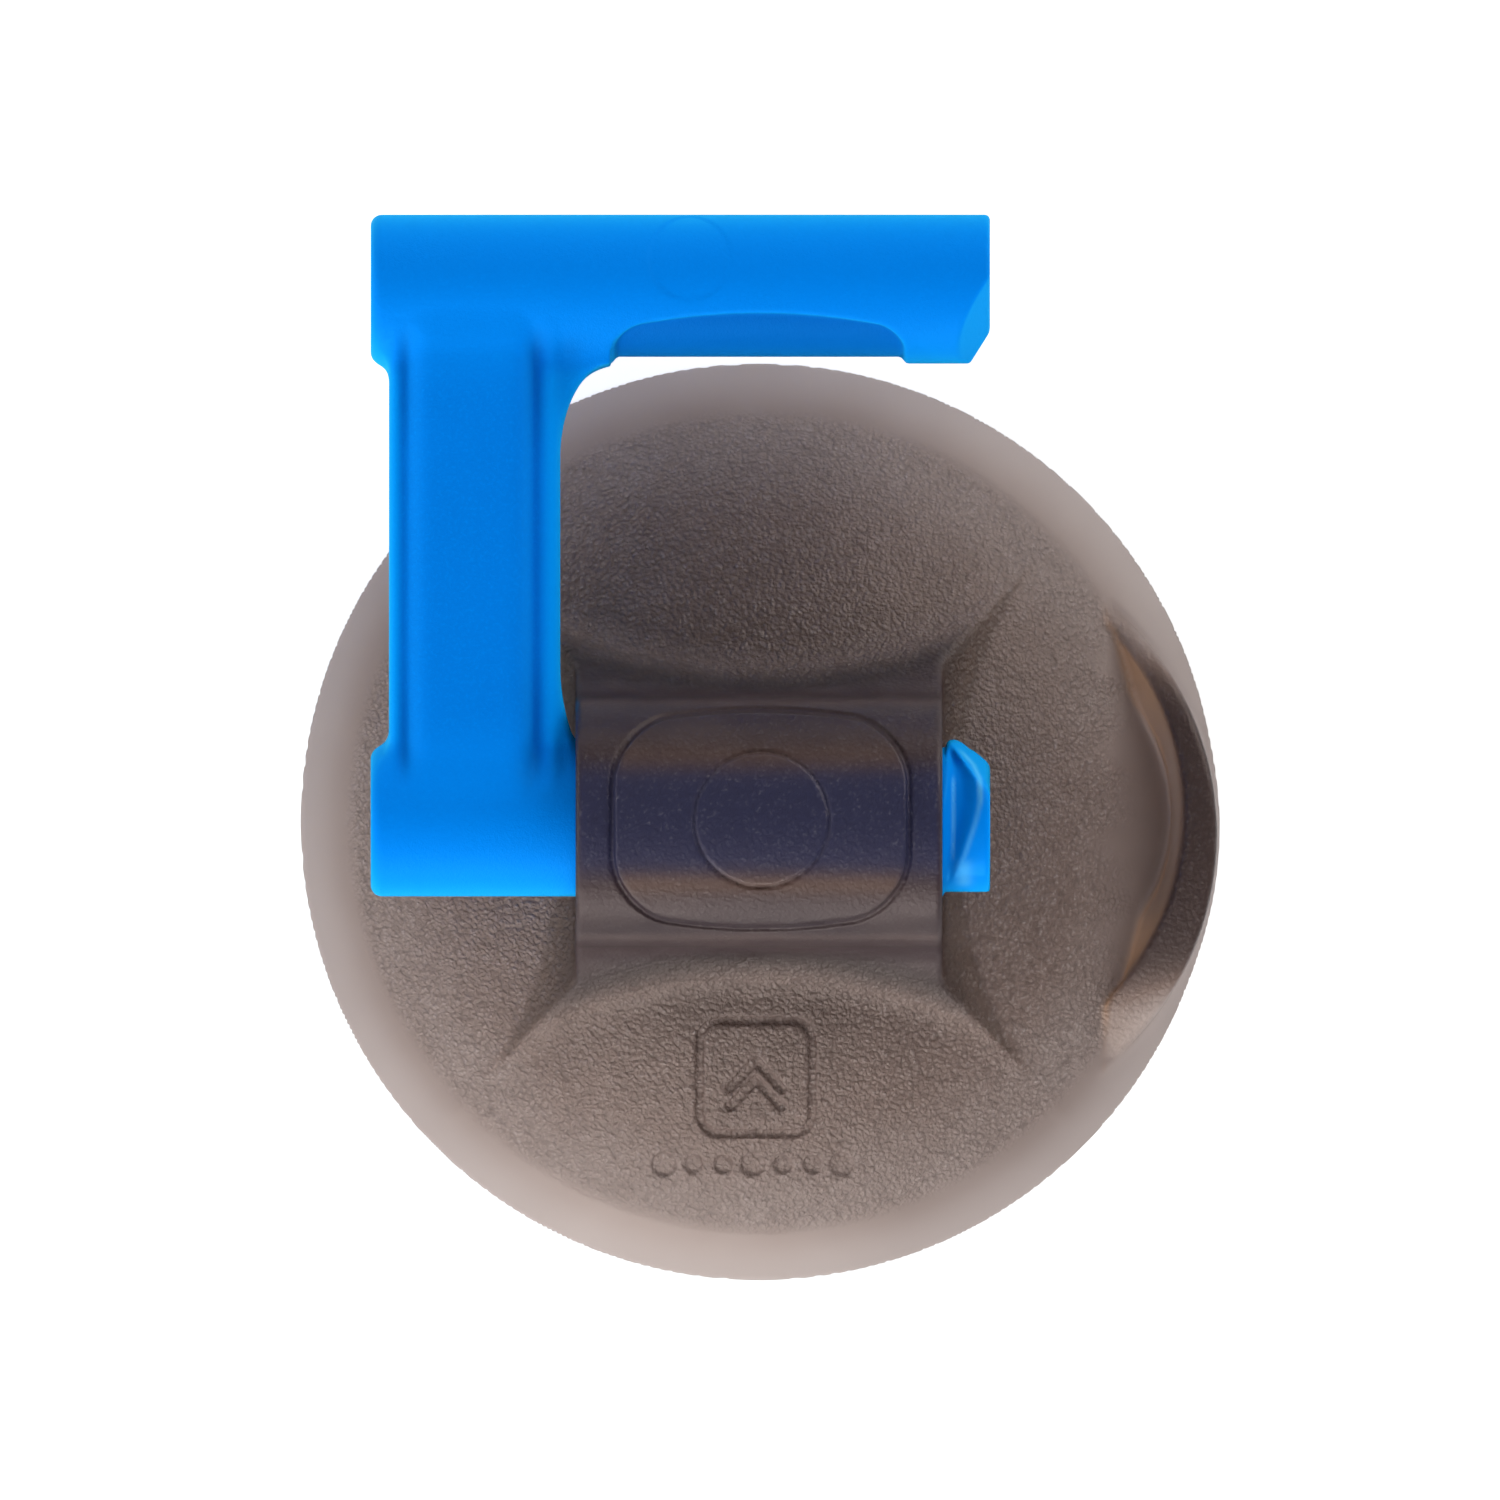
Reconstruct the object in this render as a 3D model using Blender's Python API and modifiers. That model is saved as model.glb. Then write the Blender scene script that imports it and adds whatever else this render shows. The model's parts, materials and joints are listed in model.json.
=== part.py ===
"""Suction-cup pull handle for lifting the screen off a phone or tablet.

Two mouldings.  A soft translucent suction cup carries a tunnel block on its crown, and a
rigid C-shaped handle is pushed through that tunnel, so the handle folds flat to either side
of the cup or stands up to be pulled.  A raised tab on the rim of the cup bends up on a
living hinge and breaks the seal.

Frame: metres, +Z up.  z = 0 is the sealing plane under the cup, X runs along the axle of
the handle, the handle lies folded towards +Y, the tab is on the +X side.  The origin is the
middle of the footprint; the axis of the cup stands CUP_Y away from it.
"""
import math

import bpy
import bmesh
from mathutils import Matrix

MM = 0.001

# ---------------------------------------------------------------- driving dimensions
CUP_R = 22.5 * MM          # outer radius of the cup
GRIP_Y = 26.0 * MM         # distance from the axle to the grip
ARM_R = 3.635 * MM         # radius of both round arms of the handle
CUP_Y = -(GRIP_Y + ARM_R - CUP_R) / 2     # puts the origin in the middle of the footprint

AXLE_Z = 12.15 * MM        # height of the axle above the sealing plane
BORE_GAP = 0.3 * MM        # running clearance in the tunnel, all round
BORE_HALF_X = 14 * MM      # the bore cutter runs out past both ends of the block

# cup skin
APEX_Z = 9.44 * MM         # top of the dome, continued under the tunnel block
DOME_SPHERE = 30.0 * MM    # the dome is part of a ball of this radius
RING_R = 20.0 * MM         # edge of the grained dome
RING_STEP = 0.08 * MM      # the polished lip starts this much lower
LIP_IN_R = RING_R + 0.12 * MM       # inner edge of the lip
LIP_EDGE_R = CUP_R - 0.35 * MM      # the lip's rounded edge starts here
LIP_Z = 0.42 * MM          # thickness of the lip where its rounded edge starts
RIM_Z = 0.25 * MM          # height of the widest point of the rim
RIM_UNDERCUT = 0.06 * MM   # the rim draws in by this much at the sealing plane
SEAL_IN_R = 21.2 * MM      # inner edge of the flat sealing ring
CAVITY_TOP = 6.9 * MM      # height of the hollow under the dome
CAVITY_FLARE = 0.15 * MM   # the hollow's cutter widens by this much below the dome
CAVITY_BELOW = 0.6 * MM    # and starts this far under the sealing plane

# tunnel block on the crown
BLOCK_X = 8.95 * MM        # half length along the axle
BLOCK_Y = 6.1 * MM         # half width across the axle
ARCH_RISE = 5.9 * MM       # crest of the arch above the axle
ARCH_POWER = 0.92          # below 1 the arch is squarer than an ellipse
FLARE_Y = (10.1 * MM, 6.0 * MM)     # a point on the long flared skirts (y, z)
FLARE_Y_SLOPE = 1.15
FLARE_X = (10.15 * MM, 7.05 * MM)   # a point on the end skirts (x, z)
FLARE_X_SLOPE = 1.25
FLARE_END_Z = 2.4 * MM     # the skirts run on inside the dome down to here
FILLET_Y = 4.0 * MM        # hollow fillet between arch and long skirt
FILLET_X = 1.6 * MM        # hollow fillet between end face and end skirt
LENGTH_OVER_Z = 1 * MM     # the end outline stands this far above the crest
BLOCK_REACH = 15 * MM      # half depth of both prisms that meet in the block

PAD_X = 7.3 * MM           # raised pad on the crest: half length
PAD_Y = 5.15 * MM          # half width
PAD_CORNER = 2.9 * MM
PAD_BULGE = 0.45 * MM      # its long sides bow out by this much
PAD_END_BULGE = 0.2 * MM   # and its ends by this much
PAD_RISE = 0.35 * MM
PAD_ROOT = 1 * MM          # its arch runs on below the axle by this much
PAD_REACH = 9 * MM         # half depth of the arch prism
PAD_CUT_UP = 5.2 * MM      # the plan prism is centred this far above the axle
PAD_CUT_HALF_Z = 4 * MM

# release tab
HINGE_X = 17.2 * MM        # the living hinge is a straight line across the rim
HINGE_Z = 4.2 * MM         # and bends about the upper skin
TAB_GAP = 0.3 * MM
TAB_ARC_X = 7.75 * MM      # centre of the arc that the outside of the tab follows
TAB_ARC_Y = -0.6 * MM
TAB_ARC_R = 14.6 * MM
TAB_ARC_ANGLE = 52.0       # degrees to either side of +X
TAB_WALL = 1.6 * MM        # thickness of the upstanding wall
TAB_TOP = 5.0 * MM         # height of the tab at its middle
TAB_END_Z = 1.1 * MM       # height of the tab at its ends
TAB_FOOT_Z = 0.3 * MM      # underside of the wall, inside the lip
TAB_HALF = 11.5 * MM       # half of its length
TAB_POWER = 2.6            # how flat the middle of its top is
TAB_SPAN = 13.0 * MM       # half length of the side outline
WALL_MID_Z = 3 * MM        # the wall's plan prism before its side outline trims it
WALL_HALF_Z = 4 * MM
TAB_SIDE_REACH = 12 * MM   # half depth of the side outline's prism

# boxes that part cup and tab reach beyond the cup to these limits
FAR_XY = 30 * MM
FAR_BELOW = -5 * MM
FAR_ABOVE = 10 * MM

# handle
ARM_X0 = -18.95 * MM       # closed end of both arms
ARM_X1 = 11.27 * MM        # free ends of both arms
ARM_EDGE = 0.4 * MM        # rounding of both ends of each arm
LEG_X0 = -18.06 * MM       # leg between the arms
LEG_X1 = -9.69 * MM
LEG_INSET = ARM_R * 0.55   # the leg ends this far from the centre line of each arm
PLATEAU_X0 = -16.75 * MM
PLATEAU_X1 = -11.50 * MM
PLATEAU_HALF_Z = 3.55 * MM # plateau, nearly flush with the arms
PLATEAU_INSET = 1.0 * MM   # it ends this far from the centre line of each arm
PLATEAU_EDGE = 0.45 * MM
FLANGE_HALF_Z = 2.75 * MM  # flanges beside it
WEB_X = 2.4 * MM           # hollow rounding between leg and grip
WEB_Y = 4.4 * MM
AXLE_WEB_X = 0.42 * MM     # a tighter one at the axle, clear of the block's end face
AXLE_WEB_Y = 1.3 * MM
WEB_SINK = 0.3 * MM        # both roundings start this far inside the arm
POCKET_HALF_X = 7.15 * MM  # shallow pockets, facing each other
POCKET_DEPTH = 0.32 * MM
POCKET_HALF = 3.35 * MM    # half height of a pocket, in the middle
POCKET_END = 2.45 * MM     # half height at its ends
POCKET_REACH = 5 * MM      # the pocket cutter runs this far from the arm's centre line
HEAD_CUT_X = 0.85 * MM     # chamfer on the inner side of the free ends
HEAD_CUT_Y = 1.35 * MM
HEAD_OVER_X = 0.5 * MM     # the wedge stands past the free end by this much
HEAD_OVER_Y = 2 * MM       # and past the side of the arm
HEAD_HALF_Z = 6 * MM

SEG_ROUND = 48
SEG_CUP = 80
SHARP_ANGLE = math.radians(35)
BEVEL_ANGLE = math.radians(50)

# turn of a flat outline before it is placed
TO_YZ = Matrix(((0, 0, 1), (1, 0, 0), (0, 1, 0))).to_4x4()    # outline (y, z), pushed along X
TO_XZ = Matrix(((1, 0, 0), (0, 0, -1), (0, 1, 0))).to_4x4()   # outline (x, z), pushed along Y
TO_XY = Matrix.Identity(4)


# ---------------------------------------------------------------- scene
for old in list(bpy.data.objects):
    bpy.data.objects.remove(old, do_unlink=True)

part_collection = bpy.data.collections.new("suction_pull_handle")
cutter_collection = bpy.data.collections.new("cutters")
bpy.context.scene.collection.children.link(part_collection)
bpy.context.scene.collection.children.link(cutter_collection)


def new_empty(name, location, parent=None):
    empty = bpy.data.objects.new(name, None)
    empty.empty_display_size = 5 * MM
    empty.location = location
    empty.parent = parent
    part_collection.objects.link(empty)
    return empty


cup_frame = new_empty("cup_frame", (0.0, CUP_Y, 0.0))
handle_pivot = new_empty("handle_pivot", (0.0, 0.0, AXLE_Z), cup_frame)
tab_pivot = new_empty("tab_pivot", (HINGE_X, 0.0, HINGE_Z), cup_frame)
bpy.context.view_layer.update()


# ---------------------------------------------------------------- objects and modifiers
def material(name, colour, roughness, alpha=1.0):
    mat = bpy.data.materials.new(name)
    mat.use_nodes = True
    shader = mat.node_tree.nodes["Principled BSDF"]
    shader.inputs["Base Color"].default_value = (*colour, 1.0)
    shader.inputs["Roughness"].default_value = roughness
    shader.inputs["Alpha"].default_value = alpha
    mat.diffuse_color = (*colour, alpha)
    return mat


def add_object(name, mesh, parent, collection):
    """The mesh is given in the cup's frame; the object hangs under parent with its origin there."""
    obj = bpy.data.objects.new(name, mesh)
    collection.objects.link(obj)
    obj.parent = parent
    if parent != cup_frame:
        mesh.transform(Matrix.Translation(-parent.location))
    return obj


def add_part(name, mesh, parent, mat):
    part = add_object(name, mesh, parent, part_collection)
    part.data.materials.append(mat)
    return part


def add_tool(name, mesh, parent):
    """Hidden helper for a boolean."""
    tool = add_object(name, mesh, parent, cutter_collection)
    tool.hide_render = True
    tool.display_type = "WIRE"
    return tool


def boolean(obj, tool, operation):
    mod = obj.modifiers.new(operation.lower(), "BOOLEAN")
    mod.operation = operation
    mod.solver = "EXACT"
    mod.object = tool


def cut(obj, name, mesh, operation="DIFFERENCE"):
    """Applies a new tool, which hangs under the same parent as obj."""
    boolean(obj, add_tool(name, mesh, obj.parent), operation)


def round_edges(obj, width):
    bevel = obj.modifiers.new("edge", "BEVEL")
    bevel.width = width
    bevel.segments = 2
    bevel.limit_method = "ANGLE"
    bevel.angle_limit = BEVEL_ANGLE


# ---------------------------------------------------------------- meshes
def to_mesh(bm, name):
    mesh = bpy.data.meshes.new(name)
    bm.to_mesh(mesh)
    bm.free()
    return mesh


def round_bar(radius, x0, x1, y):
    """Solid round bar along X at the height of the axle."""
    bm = bmesh.new()
    bmesh.ops.create_cone(bm, cap_ends=True, segments=SEG_ROUND, radius1=radius,
                          radius2=radius, depth=x1 - x0)
    bmesh.ops.rotate(bm, verts=bm.verts, matrix=Matrix.Rotation(math.pi / 2, 3, "Y"))
    bmesh.ops.translate(bm, verts=bm.verts, vec=((x0 + x1) / 2, y, AXLE_Z))
    return to_mesh(bm, "bar")


def box(x0, x1, y0, y1, z0, z1):
    bm = bmesh.new()
    bmesh.ops.create_cube(bm, size=1.0)
    bmesh.ops.scale(bm, verts=bm.verts, vec=(x1 - x0, y1 - y0, z1 - z0))
    bmesh.ops.translate(bm, verts=bm.verts,
                        vec=((x0 + x1) / 2, (y0 + y1) / 2, (z0 + z1) / 2))
    return to_mesh(bm, "block")


def evaluated_mesh(holder):
    """Mesh of a temporary object, which is removed."""
    cutter_collection.objects.link(holder)
    bpy.context.view_layer.update()
    graph = bpy.context.evaluated_depsgraph_get()
    mesh = bpy.data.meshes.new_from_object(holder.evaluated_get(graph))
    bpy.data.objects.remove(holder)
    return mesh


def outline_prism(points, half, turn, offset=(0.0, 0.0, 0.0)):
    """A flat outline, pushed out by half on both sides."""
    curve = bpy.data.curves.new("outline", "CURVE")
    curve.dimensions = "2D"
    curve.fill_mode = "BOTH"
    curve.extrude = half
    spline = curve.splines.new("POLY")
    spline.points.add(len(points) - 1)
    for point, (u, v) in zip(spline.points, points):
        point.co = (u, v, 0.0, 1.0)
    spline.use_cyclic_u = True
    mesh = evaluated_mesh(bpy.data.objects.new("outline", curve))
    bpy.data.curves.remove(curve)

    bm = bmesh.new()
    bm.from_mesh(mesh)
    bmesh.ops.remove_doubles(bm, verts=bm.verts, dist=1e-6)
    bmesh.ops.transform(bm, verts=bm.verts, matrix=Matrix.Translation(offset) @ turn)
    bmesh.ops.recalc_face_normals(bm, faces=bm.faces)
    bm.to_mesh(mesh)
    bm.free()
    return mesh


def turned(points):
    """A profile (radius, height), outer side first and downwards, turned round the cup's axis."""
    profile = bpy.data.meshes.new("profile")
    profile.from_pydata([(r, 0.0, z) for r, z in points],
                        [(i, i + 1) for i in range(len(points) - 1)], [])
    holder = bpy.data.objects.new("profile", profile)
    screw = holder.modifiers.new("turn", "SCREW")
    screw.axis = "Z"
    screw.angle = 2 * math.pi
    screw.steps = screw.render_steps = SEG_CUP
    screw.use_merge_vertices = True
    screw.merge_threshold = 0.00001
    solid = evaluated_mesh(holder)
    bpy.data.meshes.remove(profile)
    return solid


# ---------------------------------------------------------------- outline helpers
def arc(centre_u, centre_v, radius, start, end, steps):
    """steps + 1 points of a circle between two angles in degrees."""
    points = []
    for i in range(steps + 1):
        angle = math.radians(start + (end - start) * i / steps)
        points.append((centre_u + radius * math.cos(angle),
                       centre_v + radius * math.sin(angle)))
    return points


def both_sides(half_outline):
    """Completes an outline that was given for the + side only."""
    return half_outline + [(-u, v) for u, v in reversed(half_outline) if u > 1e-9]


# ---------------------------------------------------------------- cup skin
def dome_z(r):
    return APEX_Z - DOME_SPHERE + math.sqrt(DOME_SPHERE ** 2 - r * r)


def skin_profile():
    """Dome, lip and rounded rim, closed along the sealing plane."""
    points = [(0.0, APEX_Z)]
    points += [(RING_R * i / 9, dome_z(RING_R * i / 9)) for i in range(1, 10)]
    lip_top = dome_z(RING_R) - RING_STEP
    for i in range(4):
        t = i / 3
        points.append((LIP_IN_R + (LIP_EDGE_R - LIP_IN_R) * t,
                       lip_top + (LIP_Z - lip_top) * t))
    points += [(CUP_R, RIM_Z), (CUP_R - RIM_UNDERCUT, 0.0), (0.0, 0.0)]
    return points


def cavity_profile():
    """Hollow under the dome; it starts a little below the sealing plane."""
    ball = (SEAL_IN_R ** 2 + CAVITY_TOP ** 2) / (2 * CAVITY_TOP)
    points = [(0.0, CAVITY_TOP)]
    for i in range(1, 9):
        r = SEAL_IN_R * i / 8
        points.append((r, CAVITY_TOP - ball + math.sqrt(ball ** 2 - r * r)))
    points += [(SEAL_IN_R + CAVITY_FLARE, -CAVITY_BELOW), (0.0, -CAVITY_BELOW)]
    return points


def parting_box(x0, x1):
    """Everything between two x positions, to take one side of the hinge line away."""
    return box(x0, x1, -FAR_XY, FAR_XY, FAR_BELOW, FAR_ABOVE)


# ---------------------------------------------------------------- tunnel block
def flare_side(half, through, slope, fillet, steps):
    """Lower part of one side of the block: upright face, hollow fillet, then the sloping
    skirt that passes through the given point.  Returned from the top down."""
    corner_z = through[1] + slope * (through[0] - half)
    down = math.atan(slope)                            # slope of the skirt below level
    reach = fillet * math.tan((math.pi / 2 - down) / 2)
    points = arc(half + fillet, corner_z + reach, fillet,
                 180.0, 270.0 - math.degrees(down), steps)
    points.append((through[0] + (through[1] - FLARE_END_Z) / slope, FLARE_END_Z))
    return points


def arch(half, rise, steps=10):
    """Half of the arch over the tunnel, from its crest to its springing."""
    points = [(0.0, AXLE_Z + rise)]
    for i in range(1, steps + 1):
        angle = math.pi / 2 * (1 - i / steps)
        points.append((half * math.cos(angle) ** ARCH_POWER,
                       AXLE_Z + rise * math.sin(angle) ** ARCH_POWER))
    return points


def make_tunnel_block():
    """The cross section (y, z) and the end outline (x, z), intersected."""
    cross = both_sides(arch(BLOCK_Y, ARCH_RISE)[:-1]
                       + flare_side(BLOCK_Y, FLARE_Y, FLARE_Y_SLOPE, FILLET_Y, 5))
    top = AXLE_Z + ARCH_RISE + LENGTH_OVER_Z
    length = both_sides([(0.0, top), (BLOCK_X, top)]
                        + flare_side(BLOCK_X, FLARE_X, FLARE_X_SLOPE, FILLET_X, 3))
    tool = add_tool("tunnel_block_tool", outline_prism(cross, BLOCK_REACH, TO_YZ), cup_frame)
    cut(tool, "block_length_tool", outline_prism(length, BLOCK_REACH, TO_XZ), "INTERSECT")
    return tool


def pad_plan():
    """Rounded rectangle with sides that bow outwards, anticlockwise."""
    corner = arc(PAD_X - PAD_CORNER, PAD_Y - PAD_CORNER, PAD_CORNER, 12.0, 78.0, 5)
    upper = both_sides([(PAD_X + PAD_END_BULGE, 0.0)] + corner + [(0.0, PAD_Y + PAD_BULGE)])
    return upper + [(x, -y) for x, y in reversed(upper) if y > 1e-9]


def make_pad():
    """A slightly larger arch, kept only within the plan of the pad."""
    cross = both_sides(arch(BLOCK_Y + PAD_RISE, ARCH_RISE + PAD_RISE)
                       + [(BLOCK_Y, AXLE_Z - PAD_ROOT)])
    tool = add_tool("pad_tool", outline_prism(cross, PAD_REACH, TO_YZ), cup_frame)
    plan = outline_prism(pad_plan(), PAD_CUT_HALF_Z, TO_XY, (0, 0, AXLE_Z + PAD_CUT_UP))
    cut(tool, "pad_outline_tool", plan, "INTERSECT")
    return tool


# ---------------------------------------------------------------- suction cup
def make_cup(mat):
    cup = add_part("suction_cup", turned(skin_profile()), cup_frame, mat)
    boolean(cup, make_tunnel_block(), "UNION")
    boolean(cup, make_pad(), "UNION")
    cut(cup, "cavity_tool", turned(cavity_profile()))
    cut(cup, "bore_tool", round_bar(ARM_R + BORE_GAP, -BORE_HALF_X, BORE_HALF_X, 0.0))
    cut(cup, "tab_side_tool", parting_box(HINGE_X - TAB_GAP / 2, FAR_XY))
    return cup


# ---------------------------------------------------------------- release tab
def tab_top(y):
    """Height of the tab along its length: it rises out of the lip at both ends."""
    t = min(1.0, abs(y - TAB_ARC_Y) / TAB_HALF)
    return TAB_END_Z + (TAB_TOP - TAB_END_Z) * (1 - t ** TAB_POWER)


def make_tab_wall():
    """Curved upstanding wall, its plan trimmed to the side outline (y, z)."""
    plan = []
    for radius, start in ((TAB_ARC_R, -TAB_ARC_ANGLE), (TAB_ARC_R - TAB_WALL, TAB_ARC_ANGLE)):
        plan += arc(TAB_ARC_X, TAB_ARC_Y, radius, start, -start, 16)
    stations = [TAB_ARC_Y + TAB_SPAN * (i / 9 - 1) for i in range(19)]
    side = [(y, tab_top(y)) for y in stations]
    side += [(TAB_ARC_Y + TAB_SPAN, TAB_FOOT_Z), (TAB_ARC_Y - TAB_SPAN, TAB_FOOT_Z)]

    wall = add_tool("tab_wall_tool",
                    outline_prism(plan, WALL_HALF_Z, TO_XY, (0, 0, WALL_MID_Z)), tab_pivot)
    cut(wall, "tab_side_profile_tool",
        outline_prism(side, TAB_SIDE_REACH, TO_YZ, (HINGE_X, 0, 0)), "INTERSECT")
    return wall


def make_tab(mat):
    """The part of the cup skin beyond the hinge line, with the wall on it."""
    tab = add_part("release_tab", turned(skin_profile()), tab_pivot, mat)
    boolean(tab, make_tab_wall(), "UNION")
    cut(tab, "tab_cavity_tool", turned(cavity_profile()))
    cut(tab, "cup_side_tool", parting_box(-FAR_XY, HINGE_X + TAB_GAP / 2))
    return tab


# ---------------------------------------------------------------- handle
def web_curve(size_x, arm_side, size_y, steps=5):
    """Hollow rounding from the side of an arm to the leg; size_y is negative towards -Y."""
    points = []
    for i in range(steps + 1):
        angle = math.pi / 2 * i / steps
        points.append((LEG_X1 + size_x * (1 - math.sin(angle)),
                       arm_side + size_y * (1 - math.cos(angle))))
    return points


def leg_outline():
    """Leg with rounded inner corners, seen from above, anticlockwise from its grip end."""
    y0, y1 = LEG_INSET, GRIP_Y - LEG_INSET
    points = [(LEG_X0, y1), (LEG_X0, y0), (LEG_X1 + AXLE_WEB_X, y0)]
    points += web_curve(AXLE_WEB_X, ARM_R - WEB_SINK, AXLE_WEB_Y)
    points += reversed(web_curve(WEB_X, GRIP_Y - ARM_R + WEB_SINK, -WEB_Y))
    points.append((LEG_X1 + WEB_X, y1))
    return points


def make_pocket(name, y, inward, steps=8):
    """Shallow pocket on the side of an arm that faces the other arm; inward is +1 or -1 in Y."""
    upper = []
    for i in range(steps + 1):
        t = -1 + 2 * i / steps
        half_z = POCKET_END + (POCKET_HALF - POCKET_END) * (1 - t * t)
        upper.append((POCKET_HALF_X * t, AXLE_Z + half_z))
    outline = upper + [(x, 2 * AXLE_Z - z) for x, z in reversed(upper)]
    middle_y = y + inward * POCKET_REACH / 2
    tool = add_tool(name, outline_prism(outline, POCKET_REACH / 2, TO_XZ, (0, middle_y, 0)),
                    handle_pivot)
    cut(tool, name + "_core", round_bar(ARM_R - POCKET_DEPTH, ARM_X0, ARM_X1, y))
    return tool


def end_wedge(y, inward):
    """Wedge that takes the inner corner off a free end."""
    edge = y + inward * ARM_R
    far = edge + inward * HEAD_OVER_Y
    slope = HEAD_CUT_X / HEAD_CUT_Y
    over_x = ARM_X1 + HEAD_OVER_X
    points = [(over_x, edge - inward * (HEAD_CUT_Y + HEAD_OVER_X / slope)),
              (over_x, far),
              (ARM_X1 - HEAD_CUT_X - slope * HEAD_OVER_Y, far)]
    if inward < 0:
        points.reverse()    # keeps the outline anticlockwise
    return outline_prism(points, HEAD_HALF_Z, TO_XY, (0, 0, AXLE_Z))


def make_handle(mat):
    handle = add_part("handle", round_bar(ARM_R, ARM_X0, ARM_X1, 0.0), handle_pivot, mat)
    round_edges(handle, ARM_EDGE)
    grip = add_tool("grip_tool", round_bar(ARM_R, ARM_X0, ARM_X1, GRIP_Y), handle_pivot)
    round_edges(grip, ARM_EDGE)
    flange = add_tool("flange_tool",
                      outline_prism(leg_outline(), FLANGE_HALF_Z, TO_XY, (0, 0, AXLE_Z)),
                      handle_pivot)
    plateau = add_tool("plateau_tool",
                       box(PLATEAU_X0, PLATEAU_X1, PLATEAU_INSET, GRIP_Y - PLATEAU_INSET,
                           AXLE_Z - PLATEAU_HALF_Z, AXLE_Z + PLATEAU_HALF_Z),
                       handle_pivot)
    round_edges(plateau, PLATEAU_EDGE)
    for piece in (grip, flange, plateau):
        boolean(handle, piece, "UNION")

    arms = (("axle", 0.0, 1), ("grip", GRIP_Y, -1))    # name, y, direction to the other arm
    for arm, y, inward in arms:
        boolean(handle, make_pocket(arm + "_pocket_tool", y, inward), "DIFFERENCE")
    for arm, y, inward in arms:
        cut(handle, arm + "_end_tool", end_wedge(y, inward))
    return handle


# ---------------------------------------------------------------- build
smoke = material("smoke_elastomer", colour=(0.18, 0.15, 0.14), roughness=0.45, alpha=0.8)
smoke_tab = material("smoke_elastomer_tab", colour=(0.12, 0.10, 0.10), roughness=0.35,
                     alpha=0.85)
blue = material("blue_nylon", colour=(0.0, 0.19, 0.70), roughness=0.42)

for part in (make_cup(smoke), make_tab(smoke_tab), make_handle(blue)):
    part.data.shade_smooth()
    part.data.set_sharp_from_angle(angle=SHARP_ANGLE)
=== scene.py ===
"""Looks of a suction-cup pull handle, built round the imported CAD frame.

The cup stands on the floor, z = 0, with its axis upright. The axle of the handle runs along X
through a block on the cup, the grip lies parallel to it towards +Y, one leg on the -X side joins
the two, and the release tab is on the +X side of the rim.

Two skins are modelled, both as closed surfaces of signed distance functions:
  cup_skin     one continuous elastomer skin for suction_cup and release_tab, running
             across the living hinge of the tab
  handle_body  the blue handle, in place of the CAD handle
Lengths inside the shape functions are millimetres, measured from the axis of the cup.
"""
import json
import math

import bpy
import numpy as np
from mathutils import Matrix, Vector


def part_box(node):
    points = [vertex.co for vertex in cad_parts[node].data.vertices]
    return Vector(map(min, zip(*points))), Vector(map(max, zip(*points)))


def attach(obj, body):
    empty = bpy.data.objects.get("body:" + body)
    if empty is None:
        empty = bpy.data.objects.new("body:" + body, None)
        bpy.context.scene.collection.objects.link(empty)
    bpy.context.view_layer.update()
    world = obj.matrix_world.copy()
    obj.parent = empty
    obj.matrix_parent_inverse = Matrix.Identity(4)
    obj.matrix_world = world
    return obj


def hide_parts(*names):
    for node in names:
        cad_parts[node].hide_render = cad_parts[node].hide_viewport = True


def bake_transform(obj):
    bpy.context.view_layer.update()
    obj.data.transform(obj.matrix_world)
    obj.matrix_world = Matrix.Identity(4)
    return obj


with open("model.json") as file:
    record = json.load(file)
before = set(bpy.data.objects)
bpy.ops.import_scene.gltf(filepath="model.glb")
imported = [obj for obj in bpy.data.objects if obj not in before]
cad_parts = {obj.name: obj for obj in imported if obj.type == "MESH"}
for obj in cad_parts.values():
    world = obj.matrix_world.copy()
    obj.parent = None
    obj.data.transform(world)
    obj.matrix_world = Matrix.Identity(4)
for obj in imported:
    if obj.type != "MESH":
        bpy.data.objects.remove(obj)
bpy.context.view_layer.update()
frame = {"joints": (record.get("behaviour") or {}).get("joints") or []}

JOINTS = {joint["name"]: joint for joint in frame["joints"]}
AXLE = JOINTS["handle_fold"]["pos_m"]
CUP_Y = AXLE[1] * 1000.0          # axis of the cup in the CAD frame, mm
AXLE_Z = AXLE[2] * 1000.0
CUP_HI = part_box("suction_cup")[1]
HANDLE_LO, HANDLE_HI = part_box("handle")
TAB_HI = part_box("release_tab")[1]

CUP_CELL = 0.12       # cell size of the skins, mm
HANDLE_CELL = 0.13

# ------------------------------------------------------------------ sizes, mm
CUP_R = TAB_HI[0] * 1000.0
RING_R = 20.0                     # where the dome turns down into the lip
DOME_TOP, DOME_BALL_R = 9.44, 30.0
SEAL_R, HOLLOW = 21.2, 6.9        # radius and depth of the hollow underneath
BLOCK_X, BLOCK_Y = 8.95, 6.1      # half sizes of the tunnel block
ARCH = CUP_HI[2] * 1000.0 - AXLE_Z - 0.35    # rise of the block above the axle
PAD_RISE = 0.33
ARM_R = (HANDLE_HI[2] - HANDLE_LO[2]) * 500.0
GRIP_Y = HANDLE_HI[1] * 1000.0 - CUP_Y - ARM_R
ARM_X0, ARM_X1 = HANDLE_LO[0] * 1000.0, HANDLE_HI[0] * 1000.0
BORE_R = ARM_R + 0.06


# ------------------------------------------------------------------ distance helpers
def smin(first, second, width):
    """Smooth union."""
    near = np.maximum(width - np.abs(first - second), 0.0) / width
    return np.minimum(first, second) - near * near * width * 0.25


def smax(first, second, width):
    """Smooth intersection."""
    return -smin(-first, -second, width)


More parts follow.
